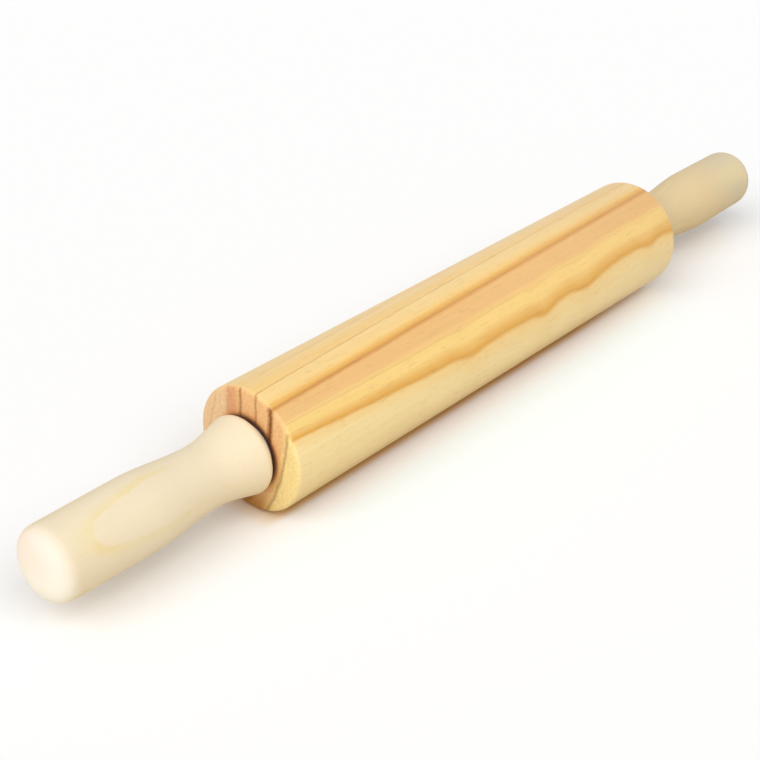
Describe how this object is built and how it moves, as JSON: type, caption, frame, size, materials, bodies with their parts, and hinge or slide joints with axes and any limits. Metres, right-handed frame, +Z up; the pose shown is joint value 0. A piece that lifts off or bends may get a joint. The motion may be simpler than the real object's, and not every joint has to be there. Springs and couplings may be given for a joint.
{
  "type": "rolling pin",
  "caption": "Wooden rolling pin whose bored barrel turns on a steel axle held between turned handles with narrow waists and domed ends.",
  "frame": {"origin": "on the axle's axis at the middle of the barrel", "axes": "+X along the axle towards the right handle, which is the far one in the picture; +Z up, away from the flat of the barrel that the pin rests on"},
  "size_m": [0.4404, 0.0498, 0.0498],
  "materials": {
    "golden_pine": "sanded pine with strong growth rings, no gloss",
    "pale_wood": "bare pale close-grained wood, sanded",
    "turned_steel": "turned and lightly brushed",
    "white_nylon": "plain moulded",
    "brass": "as turned"
  },
  "bodies": {
    "handles": {"axle_rod": "turned_steel", "left_washer": "turned_steel", "right_washer": "turned_steel", "left_insert": "brass", "right_insert": "brass", "left_handle": "pale_wood", "right_handle": "pale_wood"},
    "barrel": {"barrel": "golden_pine", "left_bush": "white_nylon", "right_bush": "white_nylon"}
  },
  "joints": [
    {"name": "barrel_spin", "type": "hinge", "parent": "handles", "child": "barrel", "pos_m": [0, 0, 0], "axis": [1, 0, 0], "continuous": true}
  ]
}
